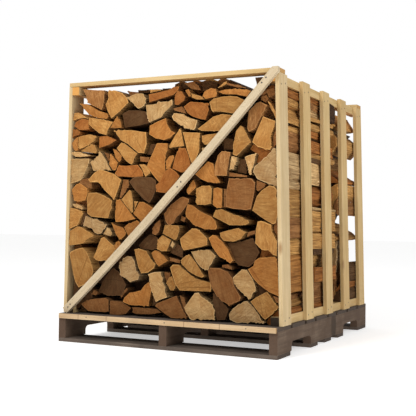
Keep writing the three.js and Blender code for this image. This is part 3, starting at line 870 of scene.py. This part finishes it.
def finish_of(node):
    if "brace" in node:
        return "cream_pine", CREAM_PINE
    if "batten" in node:
        return "old_pine", OLD_PINE
    if node.endswith("slat_1"):
        return "pale_pine", PALE_PINE
    if "stringer" in node:
        return "old_stringer", OLD_STRINGER
    if "deck_board" in node or "bottom_board" in node:
        return "old_board", OLD_BOARD
    return "new_pine", NEW_PINE


def dress_boards():
    """Gives every board its wood, along its own length, and eases its edges."""
    made = {}
    for name, node in nodes.items():
        if "log" in name:
            continue
        kind, finish = finish_of(name)
        direction = grain_direction(name)
        way = "xyz"[longest_axis(direction)]
        label = f"{kind}_{name}" if name in MARKS else f"{kind}_along_{way}"
        if label not in made:
            made[label] = board_wood(label, direction, finish, MARKS.get(name, {}))
        node.data.materials.clear()
        node.data.materials.append(made[label])
        eased = node.modifiers.new("eased_edges", "BEVEL")
        eased.width = 1.6 * MM
        eased.segments = 2
        eased.limit_method = "ANGLE"
        node.data.shade_smooth()
        flat = node.modifiers.new("flat_faces", "WEIGHTED_NORMAL")
        flat.keep_sharp = True


# ---------------------------------------------------------------- split logs

def bowed(outline):
    """The corners of an outline, with an arc of extra points where an edge bows out."""
    points = []
    for i, corner in enumerate(outline):
        here = np.array(corner[:2], float)
        points.append(here)
        if len(corner) == 3:
            there = np.array(outline[(i + 1) % len(outline)][:2], float)
            along = there - here
            outward = np.array((-along[1], along[0])) / np.hypot(*along)
            for t in (0.25, 0.5, 0.75):
                points.append(here + along * t + outward * corner[2] * 4 * t * (1 - t))
    return np.array(points)


def signed_area(points):
    x, z = points[:, 0], points[:, 1]
    return 0.5 * float(np.sum(x * np.roll(z, -1) - np.roll(x, -1) * z))


def centroid(points):
    x, z = points[:, 0], points[:, 1]
    cross = x * np.roll(z, -1) - np.roll(x, -1) * z
    area = cross.sum() / 2
    return np.array((
        ((x + np.roll(x, -1)) * cross).sum() / (6 * area),
        ((z + np.roll(z, -1)) * cross).sum() / (6 * area),
    ))


def clipped(points, normal, limit):
    """The part of an outline where its dot product with the normal is at most the limit."""
    normal = np.array(normal, float)
    kept = []
    for here, there in zip(points, np.roll(points, -1, axis=0)):
        a, b = here @ normal - limit, there @ normal - limit
        if a <= 0:
            kept.append(here)
        if (a < 0 < b) or (b < 0 < a):
            kept.append(here + (there - here) * a / (a - b))
    return np.array(kept)


def slat_edge(node, sign, inner):
    """The lowest and highest corners of a leaning slat's inner or outer face, as X and Z."""
    corners = np.array([v.co for v in nodes[node].data.vertices])[:, [0, 2]]
    halfway = (corners[:, 1].min() + corners[:, 1].max()) / 2
    ends = (corners[corners[:, 1] < halfway], corners[corners[:, 1] > halfway])
    towards = -sign if inner else sign
    return [end[np.argmax(end[:, 0] * towards)] for end in ends]


def side_limits():
    """The two half planes inside the leaning slats, from the slats' own corners."""
    limits = []
    for side, sign in (("left", -1), ("right", 1)):
        foot, top = slat_edge(f"{side}_slat_2", sign, True)
        rise = top - foot
        outward = np.array((rise[1], -rise[0])) * sign / np.hypot(*rise)
        limits.append((outward, float(outward @ foot) - CHIP_ROOM))
    return limits


def edges_of(points):
    edges = np.roll(points, -1, axis=0) - points
    return edges, np.hypot(edges[:, 0], edges[:, 1])


def resample(points, count):
    """The outline as a set number of points: its corners, and even steps between them."""
    points = points[edges_of(points)[1] > 1.5 * MM]
    edges, lengths = edges_of(points)
    steps = np.maximum(1, np.floor(lengths / lengths.sum() * count).astype(int))
    while steps.sum() < count:
        steps[np.argmax(lengths / steps)] += 1
    while steps.sum() > count:
        steps[np.argmax(np.where(steps > 1, steps / lengths, 0))] -= 1
    out = [p + e * (k / n) for p, e, n in zip(points, edges, steps) for k in range(n)]
    return np.array(out)


def outward_normals(ring):
    along = np.roll(ring, -1, axis=0) - np.roll(ring, 1, axis=0)
    normal = np.stack((along[:, 1], -along[:, 0]), 1)
    return normal / np.maximum(np.hypot(normal[:, 0], normal[:, 1]), 1e-9)[:, None]


def rough_profile(ring, rng, size, torn_share):
    """How far each point of a log's outline stands in or out: long waves, and torn stretches."""
    count = len(ring)
    turn = np.linspace(0, 2 * math.pi, count, endpoint=False)
    waves = sum(
        math.sqrt(1 / k) * rng.uniform(-1, 1) * np.cos(k * turn + rng.uniform(0, 6.28))
        for k in (2, 3, 5, 8, 13)
    )
    ragged = rng.normal(0, 1.0, count)
    shift = rng.uniform(0, 6.28)
    torn = np.clip(np.cos(turn + shift) * 0.6 + np.cos(2 * turn + 2.3 * shift) * 0.6 + torn_share, 0, 1)
    nicks = (rng.random(count) < 0.05) * rng.uniform(1.0, 3.5, count)
    return (waves * 0.5 + ragged * (0.15 + 0.95 * torn) - nicks * torn) * size


class Pile:
    """Collects the logs that are joined in one mesh."""

    def __init__(self):
        self.vertices = []
        self.faces = []
        self.sides = []
        self.tone = []
        self.round_pith = []
        self.outer_edge = []
        self.side_shade = []
        self.split_face = []
        self.total = 0

    def add(self, vertices, faces, sides, tone, round_pith, outer_edge, side_shade, split_face):
        self.vertices.append(vertices)
        self.faces += [tuple(i + self.total for i in face) for face in faces]
        self.sides += sides
        self.tone.append(np.tile((*tone, 1.0), (len(vertices), 1)))
        self.round_pith.append(round_pith)
        self.outer_edge.append(outer_edge)
        self.side_shade.append(np.full(len(vertices), side_shade))
        self.split_face.append(np.full(len(vertices), split_face))
        self.total += len(vertices)

    def build(self, name, materials, stands_for):
        mesh = bpy.data.meshes.new(name)
        mesh.from_pydata(np.concatenate(self.vertices).tolist(), [], self.faces)
        for material in materials:
            mesh.materials.append(material)
        mesh.polygons.foreach_set("material_index", self.sides)
        tone = mesh.attributes.new("tone", "FLOAT_COLOR", "POINT")
        tone.data.foreach_set("color", np.concatenate(self.tone).ravel())
        pith = mesh.attributes.new("round_pith", "FLOAT_VECTOR", "POINT")
        pith.data.foreach_set("vector", np.concatenate(self.round_pith).ravel())
        for label in ("outer_edge", "side_shade", "split_face"):
            values = mesh.attributes.new(label, "FLOAT", "POINT")
            values.data.foreach_set("value", np.concatenate(getattr(self, label)))
        mesh.update()
        logs = put_in_scene(name, mesh)
        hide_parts(*stands_for)
        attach(logs, "root")


def add_log(pile, outline, start, end, tone, rng, points=34, lean=(0.0, 0.0), place=None):
    """One split log from its end's outline, in metres, reaching from start to end along Y."""
    if signed_area(outline) < 0:
        outline = outline[::-1]
    ring = resample(outline, points)
    count = len(ring)
    middle = centroid(ring)
    size = math.sqrt(abs(signed_area(ring)))
    normals = outward_normals(ring)
    torn_share, roughness = (0.5, 1.9 * MM) if tone in ("pale", "grey") else (0.0, 1.25 * MM)
    profile = rough_profile(ring, rng, roughness, torn_share) - SKIN_DEPTH
    tilt = rng.normal(0, 0.05, 2)
    cut = np.clip((ring - middle) @ tilt, -5 * MM, 5 * MM)
    taper = rng.uniform(-0.03, 0.01)
    twist = rng.normal(0, 0.02)
    bow = rng.normal(0, 1.2 * MM, 2)
    rings = []
    length = end - start
    rim = RIM_LENGTH / length
    stations = [0.0, rim, *np.linspace(0.08, 0.92, LENGTH_STATIONS - 4), 1 - rim, 1.0]
    wander = np.zeros(count)
    for k, t in enumerate(stations):
        last = k in (0, len(stations) - 1)
        uneven = np.convolve(rng.normal(0, 1.0, count + 2), np.ones(3) / 3, "valid")
        wander = wander * 0.75 + uneven * 0.9 * MM
        inset = -RIM_INSET if last else 0.0
        drift = 0.0 if k < 2 else 1.0
        shape = ring + normals * (profile + wander * drift + inset)[:, None]
        swing = twist * t * drift
        turn = np.array(((math.cos(swing), -math.sin(swing)), (math.sin(swing), math.cos(swing))))
        turned = (shape - middle) @ turn * (1 + taper * t) + middle + bow * math.sin(math.pi * t)
        rings.append(np.stack((turned[:, 0], start + length * t + cut * (1 - t), turned[:, 1]), 1))
    vertices = list(rings)
    outer_edge = [np.ones(len(rings) * count)]
    faces = []
    sides = []
    for k in range(len(rings) - 1):
        for i in range(count):
            j = (i + 1) % count
            faces.append((k * count + i, (k + 1) * count + i, (k + 1) * count + j, k * count + j))
            sides.append(1)
    total = len(rings) * count
    for cap, outer in ((0, rings[0]), (len(rings) - 1, rings[-1])):
        centre = outer.mean(axis=0)
        for share, unevenness in END_LOOPS:
            loop = centre + (outer - centre) * share
            loop[:, 1] += rng.normal(0, unevenness, count)
            vertices.append(loop)
        vertices.append(centre[None, :])
        outer_edge += [np.full(count, 0.3), np.zeros(count), np.zeros(1)]
        loops = [cap * count, total, total + count]
        for a, b in zip(loops, loops[1:]):
            for i in range(count):
                j = (i + 1) % count
                quad = (a + i, a + j, b + j, b + i)
                faces.append(quad if cap == 0 else quad[::-1])
                sides.append(0)
        for i in range(count):
            fan = (total + count + i, total + count + (i + 1) % count, total + 2 * count)
            faces.append(fan if cap == 0 else fan[::-1])
            sides.append(0)
        total += 2 * count + 1
    vertices = np.concatenate(vertices)
    away = rng.uniform(0, 2 * math.pi)
    pith = middle + np.array((math.cos(away), math.sin(away))) * size * rng.uniform(0.5, 1.5)
    round_pith = vertices - np.array((pith[0], start - rng.uniform(0, 4.0), pith[1]))
    saw_angle = rng.uniform(0, math.pi) * (tone != "streaked")
    cosine, sine = math.cos(saw_angle), math.sin(saw_angle)
    spin = np.array(((cosine, 0, sine), (0, 1, 0), (-sine, 0, cosine)))
    vertices[:, 0] += (vertices[:, 1] - start) * lean[0]
    vertices[:, 2] += (vertices[:, 1] - start) * lean[1]
    if place is not None:
        vertices = vertices @ np.array(place.to_3x3()).T + np.array(place.translation)
    lowness_darkening = np.interp(middle[1], LOW_LOG_HEIGHTS, LOW_LOG_SHARES) if place is None else 1.0
    shade = tuple(np.clip(np.array(TONES[tone]) * rng.uniform(0.84, 1.13) * lowness_darkening, 0, 1))
    buried = place is None and abs(middle[0]) < SIDE_ZONE - size / 2
    side_shade = BURIED_SHADE if buried else 1.0
    own = round_pith @ spin
    split_face = float(tone == "streaked")
    pile.add(vertices, faces, sides, shade, own, np.concatenate(outer_edge), side_shade, split_face)


def inside(outline, x, z):
    """Which of the points are inside an outline."""
    hit = np.zeros(x.shape, bool)
    for (x0, z0), (x1, z1) in zip(outline, np.roll(outline, -1, axis=0)):
        if z0 == z1:
            continue
        crosses = (z0 > z) != (z1 > z)
        hit ^= crosses & (x < x0 + (z - z0) * (x1 - x0) / (z1 - z0))
    return hit


def gap_outlines(outlines, low, high, limits):
    """Outlines of the pieces that lie deep in the gaps between a row's logs."""
    across = np.arange(low.x, high.x, GAP_STEP)
    x, z = np.meshgrid(across, np.arange(low.z, high.z - FILLER_HEADROOM, GAP_STEP))
    taken = np.zeros(x.shape, bool)
    for outline in outlines:
        taken |= inside(outline, x, z)
    for normal, limit in limits:
        taken |= x * normal[0] + z * normal[1] > limit
    taken[0, :] = taken[-1, :] = True
    taken[:, 0] = taken[:, -1] = True
    room = np.zeros(x.shape)
    left = ~taken
    while left.any():
        room += left
        shrunk = left.copy()
        for way, axis in NEIGHBOURS:
            shrunk &= np.roll(left, way, axis)
        left = shrunk
    found = []
    angles = np.linspace(0, 2 * math.pi, FILLER_CORNERS, endpoint=False)
    while len(found) < MOST_FILLERS:
        row, column = np.unravel_index(np.argmax(room), room.shape)
        if room[row, column] < 2:
            break
        corners = []
        for angle in angles:
            reach = 1.0
            while reach < FILLER_REACH:
                r = int(round(row + math.sin(angle) * reach))
                c = int(round(column + math.cos(angle) * reach))
                if taken[r, c]:
                    break
                reach += 0.5
            reach = (reach - 0.3) * GAP_STEP
            corner = (x[row, column] + math.cos(angle) * reach, z[row, column] + math.sin(angle) * reach)
            corners.append(corner)
        outline = np.array(corners)
        found.append(outline)
        covered = inside(outline, x, z)
        covered[row, column] = True
        taken |= covered
        room[covered] = 0
        for way, axis in NEIGHBOURS:
            room[np.roll(covered, way, axis)] = 0
    return found


def beside_gap(outline):
    """Whether a log of the back row is at the height of a gap at its right-hand corner."""
    return any(low < centroid(outline)[1] < high for low, high in BACK_GAPS)


def row_plan(row):
    """The outlines of one row: the front plan itself, its mirror image, or the plan upside down."""
    floor_z = float(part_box("front_log_row")[0].z)
    top_z = float(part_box("front_log_row")[1].z)
    limits = side_limits()
    plan = []
    for tone, back, corners in FRONT_LOGS:
        outline = bowed(corners) * MM
        if row == "middle":
            outline[:, 0] *= -1
        if row == "back":
            outline = clipped(outline, (0, 1), top_z - 1 * MM)
            if len(outline) < 3:
                continue
            outline[:, 1] = floor_z + top_z - outline[:, 1]
        if row != "front":
            outline = clipped(outline, (0, 1), top_z - 1 * MM)
        if row == "back" and len(outline) >= 3 and beside_gap(outline):
            corner = (BACK_CORNER, centroid(outline)[1])
            outline = clipped(outline, BACK_SLOPE, float(np.dot(BACK_SLOPE, corner)))
        for normal, limit in limits:
            if len(outline) >= 3:
                outline = clipped(outline, normal, limit)
        if len(outline) < 3 or abs(signed_area(outline)) < LEAST_SECTION:
            continue
        plan.append((tone, back * MM, outline))
    return plan


def course_of(outline, floor_z):
    return int((centroid(outline)[1] - floor_z) / COURSE_HEIGHT) + 1


def lean_of(middle, floor_z, rng):
    """How far a log runs aside and up for each metre of its length. Logs at the sides lean inwards."""
    aside = rng.normal(0, 0.012)
    if abs(middle[0]) > SIDE_ZONE:
        steep = rng.random() < 0.3
        aside = -math.copysign(rng.uniform(0.06, 0.14) if steep else rng.uniform(0.0, 0.03), middle[0])
    rise = rng.normal(0, 0.010)
    if middle[1] < floor_z + 0.06:
        rise = abs(rise)
    return aside, rise


def build_rows(materials):
    """Each row's logs, joined course by course. The front's loose heap stands for its top logs."""
    rng = np.random.default_rng(11)
    limits = side_limits()
    heap_nodes = sorted(n for n in nodes if n.startswith("front_top_log"))
    heap_middles = np.array([(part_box(n)[0].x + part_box(n)[1].x) / 2 for n in heap_nodes])
    for row in ROWS:
        low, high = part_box(f"{row}_log_row")
        piles = {}
        plan = row_plan(row)
        points = SECTION_POINTS[row]
        for tone, back, outline in plan:
            middle = centroid(outline)
            if row == "front" and middle[1] > high.z + HEAP_RISE:
                key = heap_nodes[int(np.argmin(abs(heap_middles - middle[0])))]
            else:
                key = f"{row}_row_course_{course_of(outline, low.z)}"
            if row != "front" and rng.random() < 0.5:
                tone = OTHER_TONES.get(tone, tone)
            back = min(back, DEEPEST_SETBACK) if row != "front" else back
            start = low.y + back + rng.uniform(0.5, 6.0) * MM
            length = LOG_LENGTH - back - rng.uniform(4, 26) * MM
            if row == "back":
                end = high.y - back - rng.uniform(0.5, 6.0) * MM
                start = end - length
            lean = lean_of(middle, low.z, rng)
            if row == "front" and middle[0] > SIDE_ZONE and abs(signed_area(outline)) > BIG_LOG:
                lean = (max(lean[0], BIG_LOG_LEAN), lean[1])
            add_log(piles.setdefault(key, Pile()), outline, start, start + length, tone, rng, points, lean)
        for outline in gap_outlines([o for _, _, o in plan], low, high, limits):
            key = f"{row}_row_course_{course_of(outline, low.z)}"
            middle = centroid(outline)
            if row == "back" and middle[0] > BACK_CORNER and middle[1] > BACK_OPEN_HEIGHT:
                continue
            depth, tones = FILLER_DEPTH[row], FILLER_TONES
            if abs(middle[0]) > SIDE_ZONE:
                depth, tones = SIDE_FILLER_DEPTH, SIDE_FILLER_TONES
            near, far = (rng.uniform(*depth) * MM for _ in range(2))
            tone = str(rng.choice(tones))
            pile = piles.setdefault(key, Pile())
            add_log(pile, outline, low.y + near, high.y - far, tone, rng, FILLER_POINTS)
        for key, pile in piles.items():
            if key in heap_nodes:
                pile.build(key.replace("front_top_log", "front_heap"), materials, [key])
            else:
                pile.build(key, materials, [f"{row}_log_row"])


def prism_section(node):
    """The axis and the section of a straight solid log: its place, and its outline across the axis."""
    mesh = nodes[node].data
    corners = np.array([v.co for v in mesh.vertices])
    edges = [corners[e.vertices[1]] - corners[e.vertices[0]] for e in mesh.edges]
    along = max(edges, key=lambda e: abs(e[1]) - abs(e[0]) - abs(e[2]))
    along = along / np.linalg.norm(along) * np.sign(along[1])
    across = np.array((along[1], -along[0], 0.0))
    base = np.array((corners[:, 0].mean(), corners[:, 1].mean(), corners[:, 2].min()))
    local = corners - base
    flat = np.unique(np.round(np.stack((local @ across, local[:, 2]), 1), 5), axis=0)
    middle = flat.mean(axis=0)
    order = np.argsort(np.arctan2(flat[:, 1] - middle[1], flat[:, 0] - middle[0]))
    reach = local @ along
    turn = Matrix((across, along, (0, 0, 1))).transposed().to_4x4()
    return Matrix.Translation(base) @ turn, flat[order], float(reach.min()), float(reach.max())


def build_top_courses(materials):
    """The loose logs on the middle and back rows, one piece for each solid."""
    rng = np.random.default_rng(23)
    for node in sorted(nodes):
        if "top_log" in node and not node.startswith("front"):
            place, outline, start, end = prism_section(node)
            pile = Pile()
            tone = str(rng.choice(["tan", "honey", "pale", "amber"]))
            add_log(pile, outline, start, end, tone, rng, place=place)
            if node == "middle_top_log_7":
                low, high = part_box("middle_log_row")
                for tone, near, rise, corners in RIGHT_HEAP:
                    outline = bowed(corners) * MM
                    begin = low.y + near * MM
                    add_log(pile, outline, begin, high.y - 12 * MM, tone, rng, 30, (-0.02, rise))
            pile.build(node.replace("top_log", "loose_log"), materials, [node])


# ---------------------------------------------------------------- nails

def nail_heads(name, places, normal, radius, material):
    """A set of round nail heads, each just proud of the board."""
    facing = Vector(normal)
    turn = facing.to_track_quat("Z", "Y").to_matrix()
    vertices = []
    faces = []
    sides = NAIL_SIDES
    for place in places:
        first = len(vertices)
        for height, reach in NAIL_RINGS:
            for k in range(sides):
                angle = 2 * math.pi * k / sides
                flat = Vector((math.cos(angle) * radius * reach, math.sin(angle) * radius * reach, height))
                vertices.append(Vector(place) + turn @ flat)
        for level in (0, 1):
            for k in range(sides):
                a = first + level * sides + k
                b = first + level * sides + (k + 1) % sides
                faces.append((a, b, b + sides, a + sides))
        faces.append(tuple(first + 2 * sides + k for k in range(sides)))
        faces.append(tuple(first + k for k in reversed(range(sides))))
    mesh = bpy.data.meshes.new(name)
    mesh.from_pydata(vertices, [], faces)
    mesh.materials.append(material)
    nails = put_in_scene(name, mesh)
    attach(nails, "root")


def build_nails():
    steel = steel_material()
    brace_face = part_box("front_brace")[0].y
    spots = [(x, brace_face, z) for x, z in BRACE_NAILS]
    nail_heads("brace_nails", spots, (0, -1, 0), 3.5 * MM, steel)
    for side, sign in (("left", -1), ("right", 1)):
        spots = []
        for i in range(1, 6):
            low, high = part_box(f"{side}_slat_{i}")
            foot, top = slat_edge(f"{side}_slat_{i}", sign, False)
            for level in SLAT_NAIL_LEVELS:
                x, z = foot + (top - foot) * level
                spots.append((x, low.y + SLAT_NAIL_INSET, z))
                spots.append((x, high.y - SLAT_NAIL_INSET, z + SLAT_NAIL_STEP))
        nail_heads(f"{side}_slat_nails", spots, (sign, 0, 0), 3.2 * MM, steel)
    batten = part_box("front_batten")[0]
    spots = [(x, batten.y, batten.z + 0.011) for x in BATTEN_NAILS]
    nail_heads("batten_nails", spots, (0, -1, 0), 2.5 * MM, steel)


set_camera()
floor()
studio()
dress_boards()
LOG_MATERIALS = (log_material("split_log_end", True), log_material("split_log_side", False))
build_rows(LOG_MATERIALS)
build_top_courses(LOG_MATERIALS)
build_nails()
